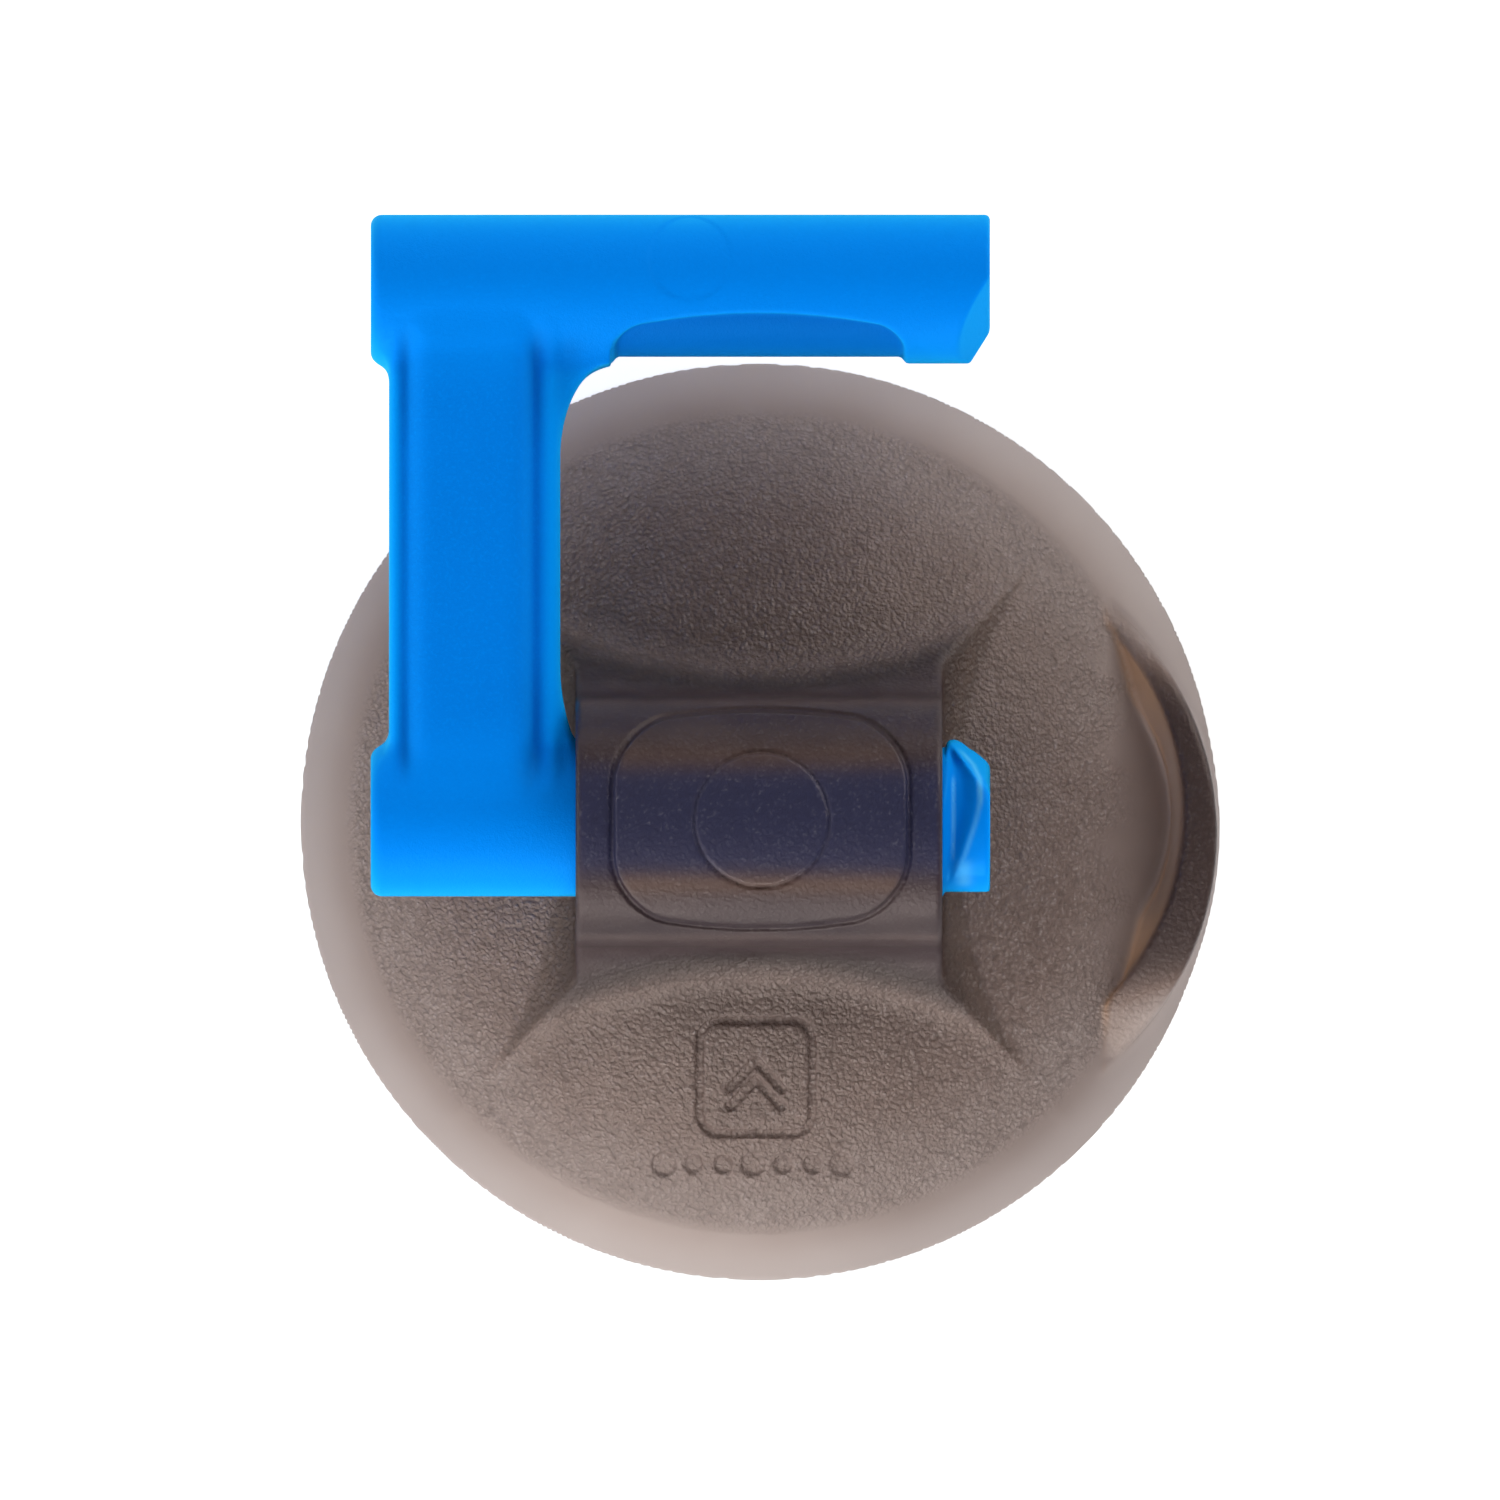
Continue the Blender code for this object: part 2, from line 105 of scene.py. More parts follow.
def round_and(first, second, radius):
    """Intersection whose edge is a true radius."""
    corner = np.hypot(np.maximum(radius + first, 0), np.maximum(radius + second, 0))
    return np.minimum(-radius, np.maximum(first, second)) + corner


def ramp(start, end, value):
    """Smooth step from 0 at start to 1 at end; start may be the larger."""
    share = np.clip((value - start) / (end - start), 0.0, 1.0)
    return share * share * (3 - 2 * share)


def bell(value, centre, width):
    return np.exp(-((value - centre) / width) ** 2)


def rounded_box(x, y, half_x, half_y, radius):
    out_x, out_y = np.abs(x) - half_x + radius, np.abs(y) - half_y + radius
    outside = np.hypot(np.maximum(out_x, 0), np.maximum(out_y, 0))
    return outside + np.minimum(np.maximum(out_x, out_y), 0) - radius


def stroke(x, y, start, end):
    """Distance to a straight line from start to end."""
    run_x, run_y = end[0] - start[0], end[1] - start[1]
    along = ((x - start[0]) * run_x + (y - start[1]) * run_y) / (run_x * run_x + run_y * run_y)
    along = np.clip(along, 0, 1)
    return np.hypot(x - start[0] - along * run_x, y - start[1] - along * run_y)


# ------------------------------------------------------------------ cup
def dome_height(radius):
    ball = DOME_TOP - DOME_BALL_R + np.sqrt(np.maximum(DOME_BALL_R ** 2 - radius * radius, 1.0))
    edge = DOME_TOP - DOME_BALL_R + math.sqrt(DOME_BALL_R ** 2 - RING_R ** 2) - 0.06
    lip = edge - 0.78 * (radius - RING_R) + 0.035 * (radius - RING_R) ** 2
    return ball + (lip - ball) * ramp(RING_R - 0.14, RING_R + 0.26, radius)


# Arcs of the tab in plan: centre (x, y) and radius
TAB_C, TAB_R = (7.75, -0.6), 14.6       # outer arc of the tab
LIP_C, LIP_R = (7.70, 0.5), 13.05       # inner edge of its top
SCOOP_C, SCOOP_R = (11.4, 0.4), 8.75    # foot of its inner face
LIP_MIN_X = 16.95                       # the inner edge stays outside this x
TAB_TOP = TAB_HI[2] * 1000.0
TAB_END_TOP = 1.25                      # height of the top at the ends of the tab


def tab_top(y):
    share = np.clip(np.abs(y + 0.5) / np.where(y > 0, 11.7, 11.0), 0, 1)
    return TAB_END_TOP + (TAB_TOP - TAB_END_TOP) * (1 - share ** 2.4)


def arc_x(y, centre, radius):
    """X of the +X side of a circle in plan."""
    return centre[0] + np.sqrt(np.maximum(radius ** 2 - (y - centre[1]) ** 2, 0.01))


def tab_lines(y):
    """Plan of the inner face of the tab: the line of its foot and the edge of its top."""
    lip = smax(arc_x(y, LIP_C, LIP_R), LIP_MIN_X, 0.5)
    scoop = arc_x(y, SCOOP_C, SCOOP_R)
    line = 16.85 + np.clip(10.9 - np.abs(y + 0.1), 0, 6) * 0.27
    foot = smax(np.where(np.abs(y - SCOOP_C[1]) < SCOOP_R * 0.98, scoop, 0.0), line, 0.3)
    return np.minimum(foot, lip - 0.12), lip


def tab_distance(x, y, z):
    outer = np.hypot(x - TAB_C[0], y - TAB_C[1]) - TAB_R
    foot, lip = tab_lines(y)
    top = tab_top(y)
    base = 1.5 + 1.3 * (1 - np.clip(np.abs(y) / 11.0, 0, 1) ** 2)
    rise = np.clip((z - base) / np.maximum(top - base, 0.3), 0, 1)
    inner = (foot + (lip - foot) * rise ** 0.8 - x) * 0.93
    wall = round_and(outer, inner, 0.24)
    return smax(wall, (z - top) * 0.95, 0.40)


def skirt(out, z, half, through, slope, radius):
    """One side of the block: upright face, hollow fillet of a true radius, flared skirt.

    out is the distance from the middle of the block; the flare falls through the point
    through (out, z) with the given slope.
    """
    wall = out - half
    root = math.hypot(1.0, slope)
    plane = (z - through[1] + slope * (out - through[0])) / root
    reach = radius * math.tan((math.pi / 2 - math.atan(slope)) / 2)
    centre_out, centre_z = half + radius, through[1] + slope * (through[0] - half) + reach
    along = ((out - centre_out) - slope * (z - centre_z)) / root
    hollow = radius - np.hypot(out - centre_out, z - centre_z)
    fillet = (z < centre_z) & (along < 0) & (wall > -1.0)
    return np.where(fillet, hollow, np.minimum(wall, plane))


ARCH_POWER = 2.174      # exponent of the superellipse of the arch


def block_parts(x, y, z):
    """Cross profile (pushed along X) and end profile (pushed along Y) of the tunnel block."""
    side, up = np.abs(y), np.maximum(z - AXLE_Z, 0.0)
    power = ARCH_POWER
    size = ((side / BLOCK_Y) ** power + (up / ARCH) ** power) ** (1 / power)
    size = np.maximum(size, 1e-3)
    slope = size ** (1 - power) * np.hypot((side / BLOCK_Y) ** (power - 1) / BLOCK_Y,
                                           (up / ARCH) ** (power - 1) / ARCH)
    arch = (size - 1.0) / np.maximum(slope, 0.05)
    low = skirt(side, z, half=BLOCK_Y, through=(10.1, 6.0), slope=1.15, radius=3.6)
    cross = np.where(z > AXLE_Z, arch, low)
    ends = skirt(np.abs(x), z, half=BLOCK_X, through=(10.15, 7.05), slope=1.25, radius=1.3)
    return cross, ends


def pad_outline(x, y):
    """Rounded pad on top of the block, its long sides bowed outwards."""
    bow = 0.80 * np.cos(np.clip(x / 7.3, -1, 1) * math.pi / 2)
    return rounded_box(x - 0.08, y - 0.15, 7.12, 4.42 + bow, 2.75)


CHEVRONS = ((-0.55, 0.80), (-1.45, -0.10))      # y of the ends, y of the tip
CHEVRON_HALF = 1.25
DOT_PITCH = 1.45


def mark_outline(x, y):
    """Sunk mark on the -Y skirt: a rounded square with two chevrons, and a row of dots."""
    mark_x, mark_y = x + 0.15, y + 12.45
    best = np.abs(rounded_box(mark_x, mark_y, 2.75, 2.75, 1.0)) - 0.16
    for end_y, tip_y in CHEVRONS:
        tip = (0.0, tip_y)
        for start, end in (((-CHEVRON_HALF, end_y), tip), (tip, (CHEVRON_HALF, end_y))):
            best = np.minimum(best, stroke(mark_x, mark_y, start, end) - 0.20)
    for i in range(7):
        dot = np.hypot(x + 0.3 - (i - 3) * DOT_PITCH, y + 16.7) - (0.42 if i % 3 else 0.55)
        best = np.minimum(best, dot)
    return best


def block_distance(x, y, z):
    """Tunnel block with the raised pad on its arch."""
    cross, ends = block_parts(x, y, z)
    outline = pad_outline(x, y)
    block = round_and(cross, ends, 0.30)
    block = smax(block, 1.2 - z, 0.2)
    pad = smax(smax(cross - PAD_RISE, ends, 0.2), outline, 0.14)
    pad = np.maximum(pad, AXLE_Z + 1.0 - z)
    block = smin(block, pad, 0.12)
    # thin witness ring on the pad, and a faint groove round the pad
    ring = np.abs(np.hypot(x - 0.12, y - 0.12) - 3.3) - 0.06
    groove = np.abs(outline - 0.14) - 0.03
    sunk = 0.13 * (1 - ramp(-0.05, 0.08, ring)) + 0.15 * (1 - ramp(-0.06, 0.18, groove))
    return np.where(z > AXLE_Z + 0.5, block + sunk, block)


def cup_distance(x, y, z):
    radius = np.hypot(x, y)
    dome = (z - dome_height(radius)) * np.clip(1.0 - radius * radius / 3000.0, 0.8, 1.0)
    solid = smin(dome, block_distance(x, y, z), 0.45)
    solid = round_and(solid, radius - CUP_R, 0.22)
    solid = smin(solid, tab_distance(x, y, z), 0.55)
    solid = np.maximum(solid, radius - CUP_R)
    mark = 0.20 * (1 - ramp(-0.05, 0.09, mark_outline(x, y)))
    solid = solid + np.where(z > 1.5, mark, 0.0)
    solid = smax(solid, -z, 0.12)
    hollow_ball = (SEAL_R ** 2 + HOLLOW ** 2) / (2 * HOLLOW)
    hollow = np.hypot(radius, z - HOLLOW + hollow_ball) - hollow_ball
    solid = smax(solid, -hollow, 0.12)
    bore = np.hypot(y, z - AXLE_Z) - BORE_R
    bore = smax(bore, np.abs(x) - 13.0, 0.1)
    return smax(solid, -bore, 0.26)


# ------------------------------------------------------------------ handle
# Half thickness of the leg across its width: flange, groove, raised middle, groove, flange.
# Columns: x, half thickness
LEG_SECTION = (
    (-18.10, 2.30), (-17.85, 2.52), (-17.55, 2.50), (-17.25, 2.36), (-16.95, 2.62),
    (-16.55, 2.98), (-16.15, 3.16), (-15.6, 3.20), (-13.9, 3.22), (-12.2, 3.20),
    (-11.75, 3.12), (-11.38, 2.80), (-11.08, 2.30), (-10.82, 2.14), (-10.50, 2.46),
    (-10.1, 2.58), (-9.85, 2.52), (-9.65, 2.30))
# The same section smoothed by averaging five shifted copies
LEG_TABLE_X = np.linspace(-19.5, -6.0, 1200)
LEG_TABLE_Z = sum(0.2 * np.interp(LEG_TABLE_X + shift, *zip(*LEG_SECTION))
                  for shift in (-0.18, -0.09, 0.0, 0.09, 0.18))
LEG_X0, LEG_X1 = -18.06, -9.69      # sides of the leg

HEAD_X = 9.12       # where the head of the axle starts, just clear of the block
HEAD_Y = 0.33       # the head sits off the axle towards the grip
# Edge of the scoop on the crown of the head. Columns: y, x
SCOOP_EDGE = (
    (-3.5, 9.40), (-2.4, 9.75), (-1.44, 10.09), (-0.7, 10.33), (0.07, 10.57),
    (1.0, 10.78), (2.1, 10.76), (2.8, 10.45), (3.4, 9.90), (3.9, 9.45))


def scoop_edge(y):
    return np.interp(y, *zip(*SCOOP_EDGE))


def arm_distance(x, y, z, arm_y):
    """Round bar along X."""
    arm = np.hypot(y - arm_y, z) - ARM_R
    return round_and(round_and(arm, ARM_X0 - x, 0.55), x - ARM_X1, 0.25)


def leg_distance(x, y, z):
    """Leg between the arms; its +X side flares into both of them."""
    middle = GRIP_Y / 2
    from_middle = np.abs(y - middle)
    grip_web = np.clip((y - (GRIP_Y - ARM_R - 4.6)) / 4.6, 0, 1.0)
    axle_web = np.clip((7.6 - y) / 3.7, 0, 1.0)
    reach = LEG_X1 + 2.6 * (1 - np.sqrt(np.maximum(1 - grip_web ** 2, 0))) \
        + 0.70 * axle_web ** 2
    inner = (x - reach) * np.where(grip_web > 0.55, 0.8, 1.0)
    half = np.interp(x, LEG_TABLE_X, LEG_TABLE_Z)
    half = half - 0.15 * ramp(middle - 2.4, middle - 0.2, from_middle)
    top = (np.abs(z) - half) * 0.80
    leg = smax(smax(LEG_X0 - x, inner, 0.2), top, 0.55)
    return np.maximum(leg, from_middle - middle)


def cut_pockets(body, x, y, z):
    """Shallow pockets that face each other, their outline laid round the arm."""
    for arm_y, side in ((0.0, 1.0), (GRIP_Y, -1.0)):
        radius = np.hypot(y - arm_y, z)
        around = ARM_R * np.arctan2(np.abs(z), (y - arm_y) * side)
        half_tall = 4.62 - 0.62 * np.clip(x / 5.8, -1.3, 1.3) ** 2
        recess = 0.33 * ramp(0.06, -0.36, rounded_box(x, around, 7.2, half_tall, 1.5))
        near = (recess > 0) & (np.abs(y - arm_y) < 6)
        body = np.where(near, np.maximum(body, radius - ARM_R + recess), body)
    return body


def cut_grip_end(body, x, y, z):
    """Chamfers on the inner corner of the free end of the grip."""
    length = np.linalg.norm((0.846, 0.532, 0.42))
    for tilt in (1.0, -1.0):
        plane = (0.846 * x - 0.532 * (y - GRIP_Y) + 0.42 * tilt * z - 10.68) / length
        body = round_and(body, np.where(np.abs(y - GRIP_Y) < 6, plane, -5.0), 0.12)
    return body


def add_head(body, x, y, z):
    """Head of the axle: a lip towards the grip, a flat on the -Y side, a scoop on its crown."""
    chamfers = [(0.62 * (x - 9.94) + 0.76 * (y - 4.02) + 0.30 * tilt * z) / 1.026
                for tilt in (1.0, -1.0)]
    head = np.hypot(y - HEAD_Y, z) - ARM_R - 0.06
    head = round_and(head, HEAD_X - x, 0.32)
    head = round_and(head, x - ARM_X1, 0.25)
    for plane in chamfers:
        head = round_and(head, plane, 0.25)
    body = smin(body, np.where(x > 8.5, head, 9.0), 0.05)
    for plane in chamfers:
        body = round_and(body, np.where(y < 7, plane, -5.0), 0.25)
    flat = np.where((x > HEAD_X - 0.10) & (y < 3), -3.42 - y, -9.0)
    body = smax(body, flat, 0.12)
    scoop = 0.50 * ramp(0.0, 0.95, scoop_edge(y) - x) * ramp(HEAD_X - 0.25, HEAD_X + 0.45, x)
    scoop *= ramp(-3.9, -2.2, y) * ramp(4.3, 3.2, y)
    radius = np.hypot(y - HEAD_Y * ramp(-1.0, 2.0, y), z)
    scooped = np.maximum(body, radius - ARM_R - 0.02 + scoop)
    return np.where((scoop > 0) & (z > 0), scooped, body)


def handle_distance(x, y, z):
    z = z - AXLE_Z
    soft = 0.95 - 0.65 * ramp(3.25, 3.6, np.abs(z))
    body = smin(leg_distance(x, y, z), arm_distance(x, y, z, 0.0), soft)
    body = smin(body, arm_distance(x, y, z, GRIP_Y), soft)
    body = cut_pockets(body, x, y, z)
    body = cut_grip_end(body, x, y, z)
    body = add_head(body, x, y, z)
    # ejector witness on the grip
    disc = np.hypot(x + 3.37, y - 27.5) - 2.03
    return body + np.where((z > 0) & (y > 20), 0.05 * (1 - ramp(-0.06, 0.06, disc)), 0.0)


# ------------------------------------------------------------------ mesher
BLOCK = 8       # cells along one side of a block of the coarse pass
FAR = 9.0       # stands for any distance far from the surface
BATCH = 1500    # blocks sampled at a time


def sample_field(distance, low, count, cell):
    """Distances at the grid corners, worked out only in blocks near the surface."""
    field = np.empty(count + 1, np.float32)
    centres = [low[axis] + (np.arange(count[axis] // BLOCK) + 0.5) * BLOCK * cell
               for axis in range(3)]
    coarse = distance(*np.meshgrid(*centres, indexing="ij"))
    far = np.sign(coarse) * FAR
    for axis in range(3):
        far = np.repeat(far, BLOCK, axis)
    field[:-1, :-1, :-1] = far
    field[-1, :, :] = field[:, -1, :] = field[:, :, -1] = FAR
    reach = BLOCK * cell * math.sqrt(3) / 2 * 1.35 + 1.2
    live = np.argwhere(np.abs(coarse) < reach)
    steps = np.arange(BLOCK + 1)
    offsets = np.meshgrid(steps, steps, steps, indexing="ij")
    for start in range(0, len(live), BATCH):
        corner = live[start:start + BATCH] * BLOCK
        index = tuple(corner[:, axis, None, None, None] + offsets[axis][None]
                      for axis in range(3))
        field[index] = distance(*(low[axis] + index[axis] * cell for axis in range(3)))
    return field


def surface_quads(field, low, count, cell):
    """One quad per grid edge that crosses the surface, one point per cell it passes."""
    inside = field < 0
    crossings, quads = [], []
    for axis in range(3):
        index = np.argwhere(np.diff(inside, axis=axis))
        keep = np.ones(len(index), bool)
        for other in range(3):
            if other != axis:
                keep &= (index[:, other] > 0) & (index[:, other] < count[other])
        index = index[keep]
        following = index.copy()
        following[:, axis] += 1
        value = field[tuple(index.T)].astype(float)
        next_value = field[tuple(following.T)].astype(float)
        crossing = index.astype(float)
        crossing[:, axis] += value / (value - next_value)
        second, third = (axis + 1) % 3, (axis + 2) % 3
        ring = []
        for step_second, step_third in ((-1, -1), (0, -1), (0, 0), (-1, 0)):
            around = index.copy()
            around[:, second] += step_second
            around[:, third] += step_third
            ring.append((around[:, 0] * count[1] + around[:, 1]) * count[2] + around[:, 2])
        quad = np.stack(ring, 1)
        flip = value > 0
        quad[flip] = quad[flip][:, ::-1]
        crossings.append(crossing)
        quads.append(quad)
    used, inverse = np.unique(np.concatenate(quads).ravel(), return_inverse=True)
    inverse = inverse.reshape(-1)
    shares = np.bincount(inverse, minlength=len(used)).astype(float)
    spread = np.repeat(np.concatenate(crossings), 4, axis=0)
    points = np.stack([np.bincount(inverse, spread[:, axis], len(used)) / shares
                       for axis in range(3)], 1)
    return low + points * cell, inverse.reshape(-1, 4)


def gradient(distance, points, step):
    x, y, z = points[:, 0], points[:, 1], points[:, 2]
    return np.stack([distance(x + step, y, z) - distance(x - step, y, z),
                     distance(x, y + step, z) - distance(x, y - step, z),
                     distance(x, y, z + step) - distance(x, y, z - step)], 1) / (2 * step)


def slide(distance, points, faces, step):
    """Move the points along the surface towards even spacing."""
    total = np.zeros_like(points)
    number = np.zeros(len(points))
    for i in range(4):
        np.add.at(total, faces[:, i], points[faces[:, (i + 1) % 4]])
        np.add.at(number, faces[:, i], 1)
    normal = gradient(distance, points, step)
    normal /= np.maximum(np.linalg.norm(normal, axis=1, keepdims=True), 1e-9)
    move = total / number[:, None] - points
    move -= (move * normal).sum(1, keepdims=True) * normal
    return points + 0.35 * move


def settle(distance, points, cell, step):
    """Put the points on the surface, by half a cell at most."""
    slope = gradient(distance, points, step)
    value = distance(points[:, 0], points[:, 1], points[:, 2])
    steepness = np.maximum((slope * slope).sum(1), 0.05)
    shift = -(value / steepness)[:, None] * slope
    size = np.linalg.norm(shift, axis=1, keepdims=True)
    return points + shift * np.minimum(1.0, 0.5 * cell / np.maximum(size, 1e-9))


def link_object(name, mesh):
    obj = bpy.data.objects.new(name, mesh)
    bpy.context.scene.collection.objects.link(obj)
    return obj


def mesh_of(distance, low, high, cell, name):
    """Closed quad mesh of distance(x, y, z) = 0 inside the box low..high."""
    low = np.asarray(low, float) - 2.37 * cell
    high = np.asarray(high, float) + 2.0 * cell
    count = (np.ceil((high - low) / cell).astype(int) // BLOCK + 1) * BLOCK
    field = sample_field(distance, low, count, cell)
    points, faces = surface_quads(field, low, count, cell)
    step = cell * 0.15
    for turn in range(4):
        if turn < 2:
            points = slide(distance, points, faces, step)
        points = settle(distance, points, cell, step)
    mesh = bpy.data.meshes.new(name)
    world = (points + np.array([0.0, CUP_Y, 0.0])) * 0.001
    mesh.vertices.add(len(world))
    mesh.vertices.foreach_set("co", world.astype(np.float32).ravel())
    mesh.loops.add(faces.size)
    mesh.loops.foreach_set("vertex_index", faces.astype(np.int32).ravel())
    mesh.polygons.add(len(faces))
    mesh.polygons.foreach_set("loop_start", (np.arange(len(faces)) * 4).astype(np.int32))
    mesh.update(calc_edges=True)
    mesh.validate()
    mesh.polygons.foreach_set("use_smooth", np.ones(len(mesh.polygons), bool))
    return link_object(name, mesh), points


# ------------------------------------------------------------------ painted attributes
def add_attribute(obj, name, values):
    attribute = obj.data.attributes.new(name, "FLOAT", "POINT")
    attribute.data.foreach_set("value", np.asarray(values, np.float32))


def paint_cup(obj, points):
    x, y, z = points.T
    radius = np.hypot(x, y)
    above = z - dome_height(radius)
    foot, lip = tab_lines(y)
    cross, ends = block_parts(x, y, z)
    pad = pad_outline(x, y)
    tab_side = ramp(15.5, 17.0, x)
    off_tab = 1 - tab_side
    band = ramp(-0.35, 0.10, x - lip) * ramp(0.0, 0.5, above) * tab_side    # top of the tab
    tips = ramp(5.0, 10.0, np.abs(y + 0.4)) * band
    on_end = ramp(-0.02, 0.10, ends - cross) * off_tab

    # where the mould is grained (1) and where it is polished (0)
    grain = ramp(RING_R + 0.35, RING_R - 0.6, radius)
    grain *= ramp(-0.9, -0.3, above)
    grain *= ramp(0.05, 0.6, np.hypot(y, z - AXLE_Z) - BORE_R)
    lens = 17.4 + 0.5 * np.sin(y * 1.3) + 0.4 * np.sin(y * 2.9 + 1.0)
    grain *= 1.0 - ramp(-1.5, 1.3, x - lens) * ramp(11.5, 8.5, np.abs(y))
    grain *= 1.0 - 0.72 * ramp(0.5, 2.4, above) * ramp(15.0, 13.0, x)
    grain = np.maximum(grain, 0.40 * band)

    # how much light comes back out of the material: most where the skin is thin; painted light
    # and shade are added to it below
    thinness_and_painted_light = 0.39 + 0.09 * ramp(8.0, 15.0, radius) + 0.15 * ramp(14.0, 20.0, radius) \
        + 0.32 * ramp(19.8, 22.0, radius)
    # painted light on the lower flanks of the block, away from its end faces
    thinness_and_painted_light += 0.10 * ramp(0.05, 0.45, above) * ramp(4.5, 2.0, above) * (1 - on_end) * off_tab
    thinness_and_painted_light *= 1.0 - 0.86 * ramp(0.0, 1.6, above) * off_tab
    # painted shade on the end faces of the block
    thinness_and_painted_light *= 1.0 - 0.52 * ramp(0.02, 0.15, above) * on_end
    thinness_and_painted_light *= 1.0 - 0.80 * band * ramp(2.6, 4.4, z)
    thinness_and_painted_light = np.maximum(thinness_and_painted_light, 0.38 * tips)
    # painted highlight on the shoulders of the block, painted shade along the step of the pad
    # towards -X and -Y
    shoulder = bell(np.abs(y - 0.1), 5.72, 0.16) * ramp(9.0, 8.6, np.abs(x))
    thinness_and_painted_light += 0.10 * shoulder * (z > AXLE_Z - 0.5)
    side = ramp(0.15, 0.9, (-y * 1.35 - x) / 7.0)
    thinness_and_painted_light *= 1.0 - 0.75 * (bell(pad, 0.10, 0.17) * (z > AXLE_Z + 1)) * side
    thick = np.maximum(ramp(0.3, 2.6, above) * off_tab, band * ramp(2.0, 4.0, z) * 0.6)

    # blue of the axle scattered in the crest, and warm light that comes round its sides
    crest = ramp(AXLE_Z + 3.6, AXLE_Z + 4.8, z)
    navy = crest * ramp(3.4, 1.8, np.abs(y - 0.1)) * ramp(9.0, 8.6, np.abs(x))
    amber = crest * ramp(0.1, -0.3, pad) * (0.20 * bell(y, -3.02, 0.52)
                                            + 0.12 * bell(y, 3.15, 0.70))
    # the inner face of the tab is lit through its thickness
    inner_face = tab_side * ramp(-0.25, 0.0, x - foot) * ramp(0.10, -0.25, x - lip)
    inner_face *= ramp(0.03, 0.25, above)
    amber = np.maximum(amber, inner_face * (0.40 + 0.60 * ramp(2.0, 7.5, np.abs(y - 0.4))))
    amber = np.maximum(amber, 0.14 * tips)
    # painted highlight along the foot of the inner face of the tab
    valley = bell(x - foot, 0.10, 0.20) * tab_side * ramp(-0.3, 0.0, above)
    amber = np.maximum(amber, 0.9 * valley * ramp(11.0, 9.0, np.abs(y)) * (above < 1.2))
    # painted warm light low on the end faces of the block
    amber = np.maximum(amber, 0.22 * on_end * ramp(0.02, 0.2, above) * ramp(2.5, 1.2, above))

    for name, values in (("grain", grain), ("thick", thick), ("navy", navy),
                         ("amber", amber), ("thinness_and_painted_light", thinness_and_painted_light)):
        add_attribute(obj, name, np.clip(values, 0, 1))


def paint_handle(obj, points):
    x, y, z = points.T
    near_arm = np.minimum(y, GRIP_Y - y)
    # painted shade in the grooves of the leg and in the corners at its ends
    hollow = bell(x, -10.90, 0.42) + 0.8 * bell(x, -17.30, 0.30)
    hollow *= ramp(1.6, 3.4, y) * ramp(GRIP_Y - 1.4, GRIP_Y - 3.4, y)
    hollow *= 0.45 + 0.55 * ramp(9.0, 4.5, near_arm)
    corner = bell(x, -9.4, 0.8) * ramp(7.5, 4.5, near_arm) * ramp(1.8, 3.2, near_arm)
    add_attribute(obj, "hollow", np.clip(hollow + 0.5 * corner, 0, 1))
    # painted light on the crowns of both arms
    arms = ramp(6.0, 2.2, near_arm) * ((np.abs(x) > BLOCK_X) | (y > 10))
    add_attribute(obj, "arms", np.clip(arms, 0, 1))
    # painted light on the flanges along both sides of the leg
    flange = ramp(-17.35, -17.65, x) + ramp(-10.85, -10.55, x) * ramp(-8.0, -8.6, x)
    flange *= ramp(ARM_R - 0.2, ARM_R + 0.6, y) \
        * ramp(GRIP_Y - ARM_R + 0.2, GRIP_Y - ARM_R - 0.8, y)
    add_attribute(obj, "flange", np.clip(flange, 0, 1))
    # painted shade in the pocket of the grip
    depth = ARM_R - np.hypot(y - GRIP_Y, z - AXLE_Z)
    add_attribute(obj, "pocket", ramp(0.05, 0.25, depth) * ramp(7.4, 7.0, np.abs(x)) * (y > 10))
    # painted highlight along the edges of the scoop in the head of the axle
    upper = (z > AXLE_Z) & (y < 10) & (x > 9.0)
    brim = bell(x - scoop_edge(y), 0.02, 0.12) * (0.45 + 0.55 * ramp(0.4, 1.6, y))
    brim = np.maximum(brim * ramp(-3.2, -2.4, y) * ramp(3.7, 3.2, y),
                      0.7 * bell(x - HEAD_X, 0.36, 0.08) * ramp(-2.2, -1.2, y)
                      * ramp(2.4, 1.8, y))
    brim = np.maximum(brim, 0.6 * bell(x, 10.0, 0.35) * ramp(-3.3, -2.9, y)
                      * ramp(-1.6, -2.3, y))
    add_attribute(obj, "brim", brim * upper)
    # polished head, with a painted sheen that lifts its colour
    add_attribute(obj, "polish_and_sheen", ramp(8.6, 9.2, x) * (y < 10))


